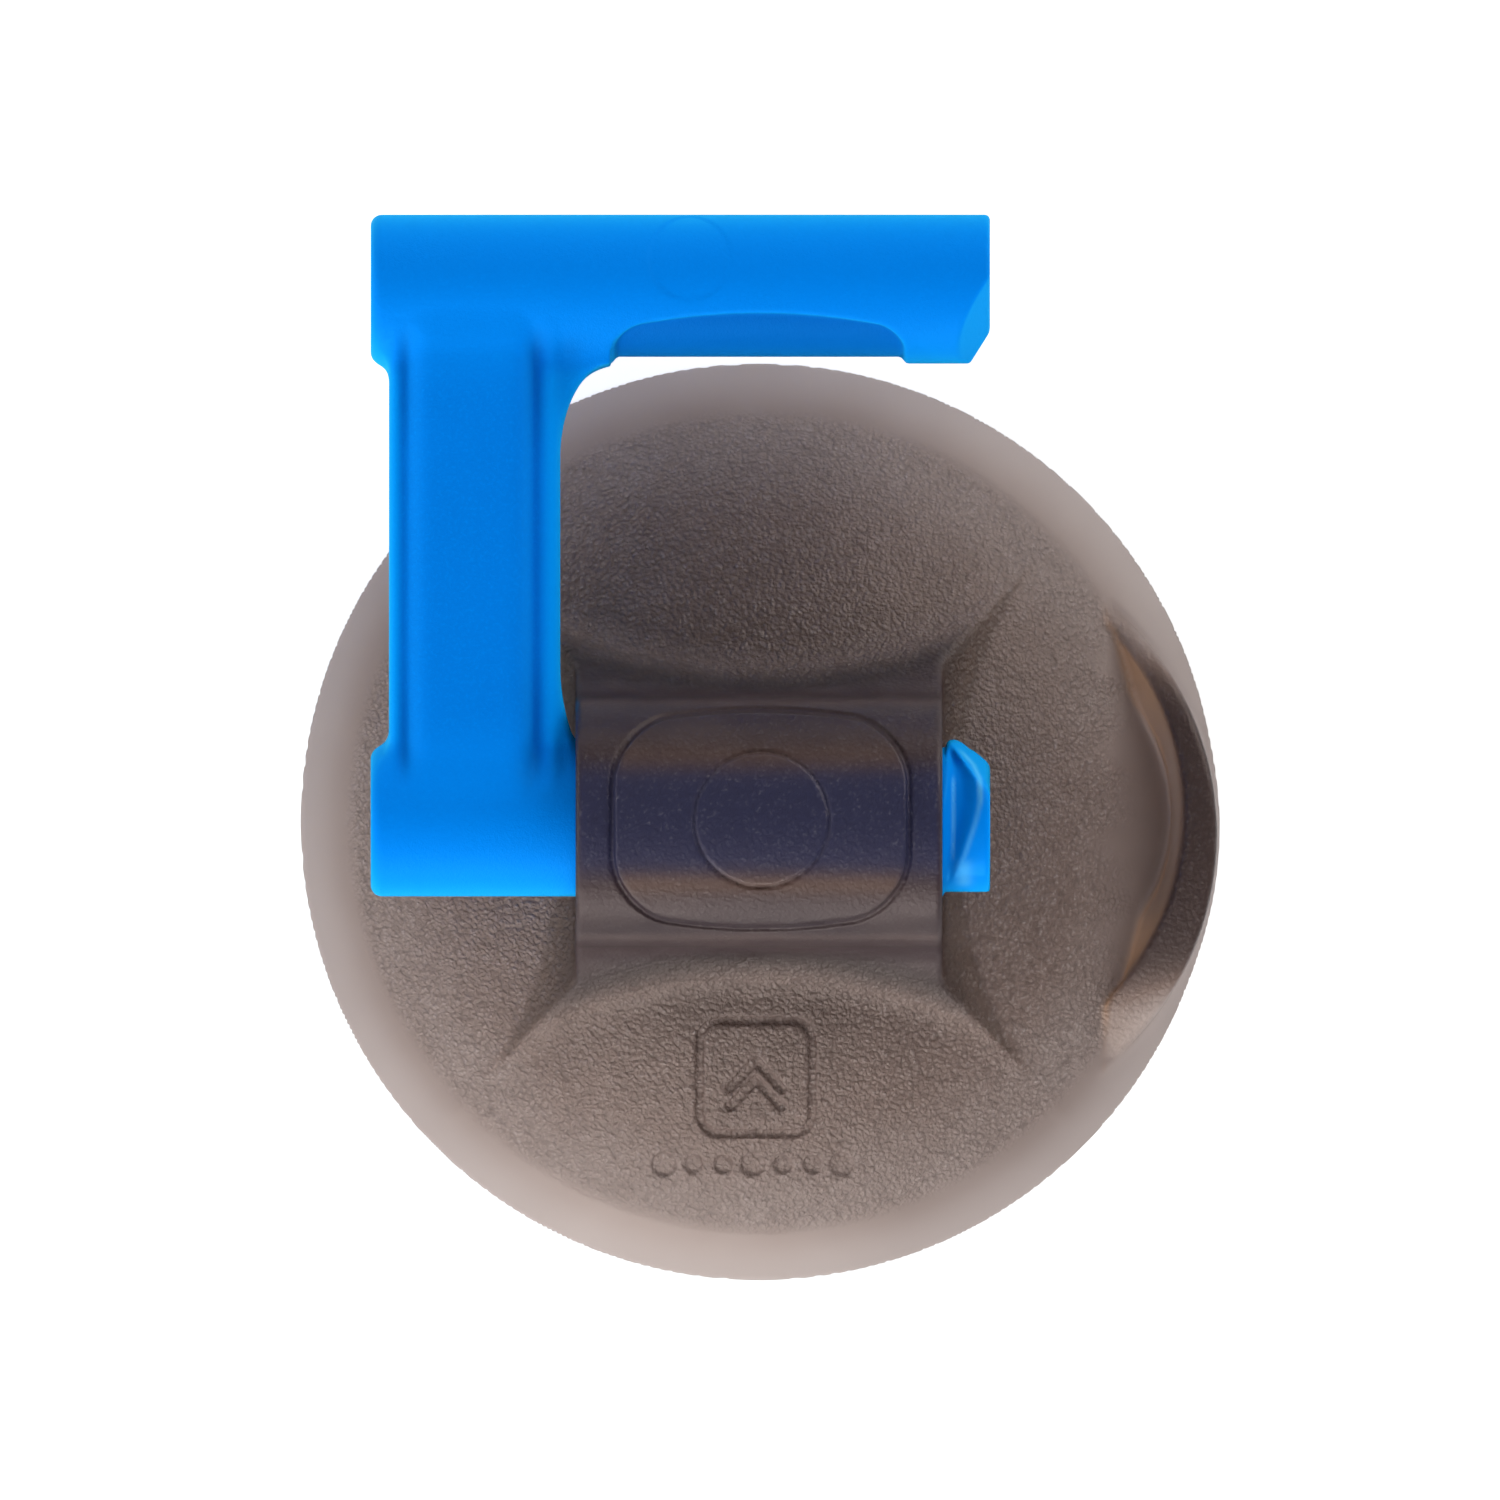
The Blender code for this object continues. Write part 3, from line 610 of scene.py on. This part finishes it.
# ------------------------------------------------------------------ materials
class Nodes:
    """Short hand for the node tree of a material or a world; inputs take values or sockets."""

    def __init__(self, owner):
        owner.use_nodes = True
        self.tree = owner.node_tree
        self.tree.nodes.clear()

    def add(self, kind, inputs=None, **props):
        node = self.tree.nodes.new(kind)
        for key, value in props.items():
            setattr(node, key, value)
        for key, value in (inputs or {}).items():
            if isinstance(value, bpy.types.NodeSocket):
                self.tree.links.new(value, node.inputs[key])
            else:
                node.inputs[key].default_value = value
        return node

    def shader(self, kind, inputs=None):
        return self.add(kind, inputs).outputs[0]

    def math(self, operation, first, second, clamp=False):
        return self.add("ShaderNodeMath", {0: first, 1: second, 2: 0.0},
                        operation=operation, use_clamp=clamp).outputs[0]

    def plus(self, first, second):
        return self.math("ADD", first, second)

    def minus(self, first, second, clamp=False):
        return self.math("SUBTRACT", first, second, clamp)

    def times(self, first, second, clamp=False):
        return self.math("MULTIPLY", first, second, clamp)

    def mix(self, factor, first, second):
        """Blend of two colours."""
        return self.add("ShaderNodeMix", {0: factor, 6: first, 7: second},
                        data_type="RGBA").outputs[2]

    def lerp(self, factor, first, second):
        """Blend of two numbers."""
        return self.add("ShaderNodeMix", {0: factor, 2: first, 3: second},
                        data_type="FLOAT").outputs[0]

    def attribute(self, name):
        return self.add("ShaderNodeAttribute", attribute_name=name).outputs["Fac"]

    def coords_mm(self):
        place = self.add("ShaderNodeTexCoord").outputs["Object"]
        return self.add("ShaderNodeMapping", {"Vector": place,
                                              "Scale": (1000.0, 1000.0, 1000.0)}).outputs[0]

    def noise(self, vector, scale, detail=2.0, rough=0.5):
        return self.add("ShaderNodeTexNoise", {"Vector": vector, "Scale": scale, "Detail": detail,
                                               "Roughness": rough}).outputs["Fac"]

    def smooth_range(self, value, start, end, low, high):
        return self.add("ShaderNodeMapRange", {0: value, 1: start, 2: end, 3: low, 4: high},
                        interpolation_type="SMOOTHSTEP").outputs[0]


def elastomer():
    """Smoke-brown translucent elastomer: rough where the mould is grained, clear on the lip."""
    material = bpy.data.materials.new("smoke_elastomer_skin")
    nodes = Nodes(material)
    place = nodes.coords_mm()
    grain, thick, thinness_and_painted_light, navy, amber = [
        nodes.attribute(name) for name in ("grain", "thick", "thinness_and_painted_light", "navy", "amber")]

    # leather grain: warped cells with fine and broad noise
    warp = nodes.add("ShaderNodeTexNoise", {"Vector": place, "Scale": 2.2, "Detail": 1.0})
    warp = nodes.add("ShaderNodeVectorMath", {0: warp.outputs["Color"], 1: (0.22, 0.22, 0.22)},
                     operation="MULTIPLY").outputs[0]
    bent = nodes.add("ShaderNodeVectorMath", {0: place, 1: warp}, operation="ADD").outputs[0]
    cells = nodes.add("ShaderNodeTexVoronoi", {"Vector": bent, "Scale": 4.3, "Smoothness": 0.36,
                                               "Randomness": 1.0}, feature="SMOOTH_F1")
    fine = nodes.noise(place, scale=6.8, detail=2.0, rough=0.55)
    broad = nodes.noise(place, scale=1.4, detail=1.0, rough=0.5)
    leather = nodes.plus(nodes.times(cells.outputs["Distance"], -0.9), nodes.times(fine, 0.75))
    leather = nodes.plus(leather, nodes.times(broad, 0.35))
    micro = nodes.noise(place, scale=22.0, detail=2.0, rough=0.6)
    height = nodes.plus(nodes.times(leather, grain), nodes.times(micro, 0.025))
    bump = nodes.shader("ShaderNodeBump", {"Strength": 1.0, "Distance": 0.000085,
                                           "Height": height})
    rough = nodes.lerp(nodes.math("MAXIMUM", grain, thick), 0.30, 0.35)
    rough = nodes.plus(rough, nodes.times(nodes.minus(broad, 0.5), 0.03))

    # clear part, dimmer where the body is thick
    through = nodes.mix(thick, (1.0, 1.0, 1.0, 1), (0.62, 0.42, 0.62, 1))
    tint = nodes.mix(thick, (1.0, 0.84, 0.74, 1.0), (0.66, 0.55, 0.51, 1))
    clear = nodes.shader("ShaderNodeBsdfPrincipled", {
        "Base Color": through, "Roughness": rough, "IOR": 1.45,
        "Specular Tint": tint, "Transmission Weight": 1.0, "Normal": bump})

    # haze: dark, brown, then pale as the skin gets thinner or painted light lifts it, with
    # painted blue and painted amber light
    cloud = nodes.noise(place, scale=0.30, detail=2.0, rough=0.5)
    thinness_and_painted_light = nodes.plus(thinness_and_painted_light, nodes.times(nodes.minus(cloud, 0.5), 0.12))
    twice = nodes.times(thinness_and_painted_light, 2.0)
    colour = nodes.mix(nodes.math("MINIMUM", twice, 1.0), (0.030, 0.016, 0.025, 1),
                       (0.290, 0.200, 0.172, 1))
    colour = nodes.mix(nodes.minus(twice, 1.0, clamp=True), colour, (0.690, 0.590, 0.560, 1))
    colour = nodes.mix(navy, colour, (0.044, 0.048, 0.112, 1))
    colour = nodes.mix(amber, colour, (0.520, 0.300, 0.180, 1))
    # crests of the grain are paler, its valleys darker
    tone = nodes.times(nodes.minus(leather, 0.24), nodes.times(grain, 0.9))
    colour = nodes.mix(nodes.times(tone, 1.0, clamp=True), colour, (0.95, 0.88, 0.86, 1))
    colour = nodes.mix(nodes.times(tone, -0.9, clamp=True), colour, (0.02, 0.012, 0.010, 1))
    haze = nodes.shader("ShaderNodeBsdfPrincipled", {
        "Base Color": colour, "Roughness": rough, "IOR": 1.45, "Specular Tint": tint,
        "Normal": bump})

    # share of haze: up to half by thinness, more in thick and amber places
    share = nodes.times(nodes.lerp(nodes.math("MINIMUM", twice, 1.0), 0.32, 1.0), 0.50)
    share = nodes.math("MAXIMUM", share, nodes.times(thick, 0.55))
    share = nodes.math("MAXIMUM", share, nodes.times(amber, 0.70))
    surface = nodes.shader("ShaderNodeMixShader", {0: share, 1: clear, 2: haze})
    volume = nodes.shader("ShaderNodeVolumeAbsorption", {"Color": (0.46, 0.352, 0.318, 1.0),
                                                         "Density": 600.0})
    nodes.add("ShaderNodeOutputMaterial", {"Surface": surface, "Volume": volume})
    return material


# Painted tones of the nylon, laid over one another: attribute, share, colour. They are painted
# light on the flanges and arm crowns, painted shade in the grooves, a painted sheen on the
# polished head and a painted highlight round the scoop.
NYLON_LAYERS = (
    ("flange", 0.60, (0.0, 0.36, 1.0, 1)),
    ("arms", 0.65, (0.0, 0.275, 0.97, 1)),
    ("hollow", 0.62, (0.0, 0.085, 0.42, 1)),
    ("polish_and_sheen", 0.20, (0.0, 0.30, 1.0, 1)),
    ("brim", 0.85, (0.14, 0.60, 1.0, 1)))


def nylon():
    """Satin blue moulded nylon with a very fine spark-eroded grain."""
    material = bpy.data.materials.new("blue_nylon_skin")
    nodes = Nodes(material)
    place = nodes.coords_mm()
    painted = {name: nodes.attribute(name) for name, _, _ in NYLON_LAYERS}

    # clouds, specks and lighter edges
    cloud = nodes.noise(place, scale=0.22, detail=3.0, rough=0.55)
    speck = nodes.noise(place, scale=6.0, detail=3.0, rough=0.70)
    base = nodes.mix(cloud, (0.0, 0.205, 0.790, 1), (0.0, 0.228, 0.860, 1))
    specks = nodes.times(nodes.minus(speck, 0.50, clamp=True), 3.2, clamp=True)
    base = nodes.mix(specks, base, (0.0, 0.275, 0.93, 1))
    pointiness = nodes.add("ShaderNodeNewGeometry").outputs["Pointiness"]
    edge = nodes.times(nodes.minus(pointiness, 0.515, clamp=True), 9.0, clamp=True)
    base = nodes.mix(nodes.times(edge, 0.5), base, (0.0, 0.26, 0.86, 1))
    for name, share, colour in NYLON_LAYERS:
        base = nodes.mix(nodes.times(painted[name], share), base, colour)
    # painted sheen at grazing angles, painted shade in the pocket
    rim = nodes.add("ShaderNodeLayerWeight", {"Blend": 0.5}).outputs["Facing"]
    rim = nodes.math("POWER", rim, 2.2)
    base = nodes.mix(nodes.times(rim, 1.1, clamp=True), base, (0.01, 0.50, 1.0, 1))
    base = nodes.mix(nodes.times(nodes.attribute("pocket"), 0.60), base, (0.0, 0.065, 0.38, 1))

    # grain, faded out on the polished head
    polish_and_sheen = painted["polish_and_sheen"]
    grain = nodes.plus(nodes.noise(place, scale=6.0, detail=3.0, rough=0.7),
                       nodes.times(nodes.noise(place, scale=13.0, detail=1.0), 0.5))
    keep = nodes.minus(1.0, nodes.times(polish_and_sheen, 0.85))
    bump = nodes.shader("ShaderNodeBump", {"Strength": 0.6, "Distance": 0.00004,
                                           "Height": nodes.times(grain, keep)})
    rough = nodes.lerp(polish_and_sheen, nodes.lerp(speck, 0.40, 0.52), 0.22)
    matte = nodes.shader("ShaderNodeBsdfDiffuse", {"Color": base, "Roughness": 0.3,
                                                   "Normal": bump})
    sheen = nodes.shader("ShaderNodeBsdfGlossy", {"Color": (0.05, 0.52, 1.0, 1),
                                                  "Roughness": rough, "Normal": bump})
    fresnel = nodes.shader("ShaderNodeFresnel", {"IOR": 1.42, "Normal": bump})
    body = nodes.shader("ShaderNodeMixShader", {0: nodes.times(fresnel, 1.0),
                                                1: matte, 2: sheen})
    nodes.add("ShaderNodeOutputMaterial", {"Surface": body})
    return material


FLOOR_GLOW = 0.55       # extra light of the floor, seen by the camera only


def floor_material():
    """Pale sweep; the camera sees it a little brighter than it lights the object."""
    material = bpy.data.materials.new("pale_floor")
    nodes = Nodes(material)
    tone = nodes.mix(nodes.noise(nodes.coords_mm(), scale=0.02, detail=2.0),
                     (0.90, 0.90, 0.905, 1), (0.92, 0.92, 0.925, 1))
    camera_ray = nodes.add("ShaderNodeLightPath").outputs["Is Camera Ray"]
    body = nodes.shader("ShaderNodeBsdfPrincipled", {
        "Base Color": tone, "Roughness": 0.9, "Specular IOR Level": 0.1,
        "Emission Color": (1, 1, 1, 1), "Emission Strength": nodes.times(camera_ray, FLOOR_GLOW)})
    # open from below, so that the underside of the cup can be looked at
    under = nodes.add("ShaderNodeNewGeometry").outputs["Backfacing"]
    gone = nodes.shader("ShaderNodeBsdfTransparent")
    both = nodes.shader("ShaderNodeMixShader", {0: under, 1: body, 2: gone})
    nodes.add("ShaderNodeOutputMaterial", {"Surface": both})
    return material


# ------------------------------------------------------------------ floor, light, camera
def add_floor():
    size = 0.6      # half side, m
    mesh = bpy.data.meshes.new("floor")
    mesh.from_pydata([(-size, -size, 0), (size, -size, 0), (size, size, 0), (-size, size, 0)],
                     [], [(0, 1, 2, 3)])
    floor = link_object("floor", mesh)
    floor.location = (0, 0, -0.00003)
    floor.data.materials.append(floor_material())


# A tent of soft light: bright all round near the horizon, dim overhead, with wide soft panels
HORIZON, ZENITH = 3.5, 0.23
HORIZON_Z = (0.10, 0.55)        # height of the view ray over which the horizon light fades
# Sides where the horizon light is dimmed: direction, share left in the middle
DIM_SIDES = (((1.0, 0.0, 0.0), 0.12), ((-1.0, 0.0, 0.0), 0.55),
             ((0.0, 1.0, 0.0), 0.34), ((0.80, -0.60, 0.0), 0.60))
DIM_COSINES = (0.15, 0.90)      # where the dimming starts and is full
# Panels: direction, inner cosine, outer cosine, strength
PANELS = (((-0.25, -0.78, 0.56), 0.97, 0.68, 1.05),
          ((-0.85, -0.30, 0.45), 0.97, 0.60, 0.45),
          ((0.72, 0.60, 0.36), 0.96, 0.84, 2.5),
          ((0.0, 0.87, 0.50), 0.97, 0.84, 0.3),
          ((-0.18, -0.98, 0.10), 0.985, 0.84, 2.7))


def soft_tent():
    world = bpy.data.worlds.new("soft_tent")
    bpy.context.scene.world = world
    nodes = Nodes(world)
    view = nodes.add("ShaderNodeTexCoord").outputs["Generated"]

    def cosine(direction):
        return nodes.add("ShaderNodeVectorMath", {0: view, 1: direction},
                         operation="DOT_PRODUCT").outputs["Value"]

    def combine(operation, first, second):
        return nodes.add("ShaderNodeMath", {0: first, 1: second}, operation=operation).outputs[0]

    height = nodes.add("ShaderNodeSeparateXYZ", {0: view}).outputs["Z"]
    level = nodes.smooth_range(height, *HORIZON_Z, HORIZON - ZENITH, 0.0)
    for direction, least in DIM_SIDES:
        shade = nodes.smooth_range(cosine(direction), *DIM_COSINES, 1.0, least)
        level = combine("MULTIPLY", level, shade)
    level = combine("ADD", level, ZENITH)
    for direction, inner, outer, strength in PANELS:
        length = math.sqrt(sum(part * part for part in direction))
        unit = tuple(part / length for part in direction)
        lit = nodes.smooth_range(cosine(unit), outer, inner, 0.0, strength)
        level = combine("ADD", level, lit)
    back = nodes.shader("ShaderNodeBackground", {"Color": (1, 1, 1, 1), "Strength": level})
    nodes.add("ShaderNodeOutputWorld", {"Surface": back})


def add_camera():
    """Looks straight down, with +Y up in the view."""
    data = bpy.data.cameras.new("camera")
    data.type = "ORTHO"
    data.ortho_scale = 0.0732
    data.clip_start = 0.01
    camera = link_object("camera", data)
    camera.location = (-0.00044, 0.00351 + CUP_Y * 0.001, 0.4)
    bpy.context.scene.camera = camera
    bpy.context.scene.view_settings.view_transform = "Standard"


# ------------------------------------------------------------------ assembly
cup, cup_points = mesh_of(cup_distance, (-CUP_R, -CUP_R, 0.0),
                          (CUP_R, CUP_R, AXLE_Z + ARCH + 0.4), CUP_CELL, "cup_skin")
handle, handle_points = mesh_of(handle_distance, (ARM_X0, -ARM_R, AXLE_Z - ARM_R),
                                (ARM_X1, GRIP_Y + ARM_R, AXLE_Z + ARM_R),
                                HANDLE_CELL, "handle_body")
paint_cup(cup, cup_points)
paint_handle(handle, handle_points)
cup.data.materials.append(elastomer())
handle.data.materials.append(nylon())

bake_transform(cup)
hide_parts("suction_cup", "release_tab")
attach(handle, "handle")
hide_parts("handle")

add_floor()
soft_tent()
add_camera()
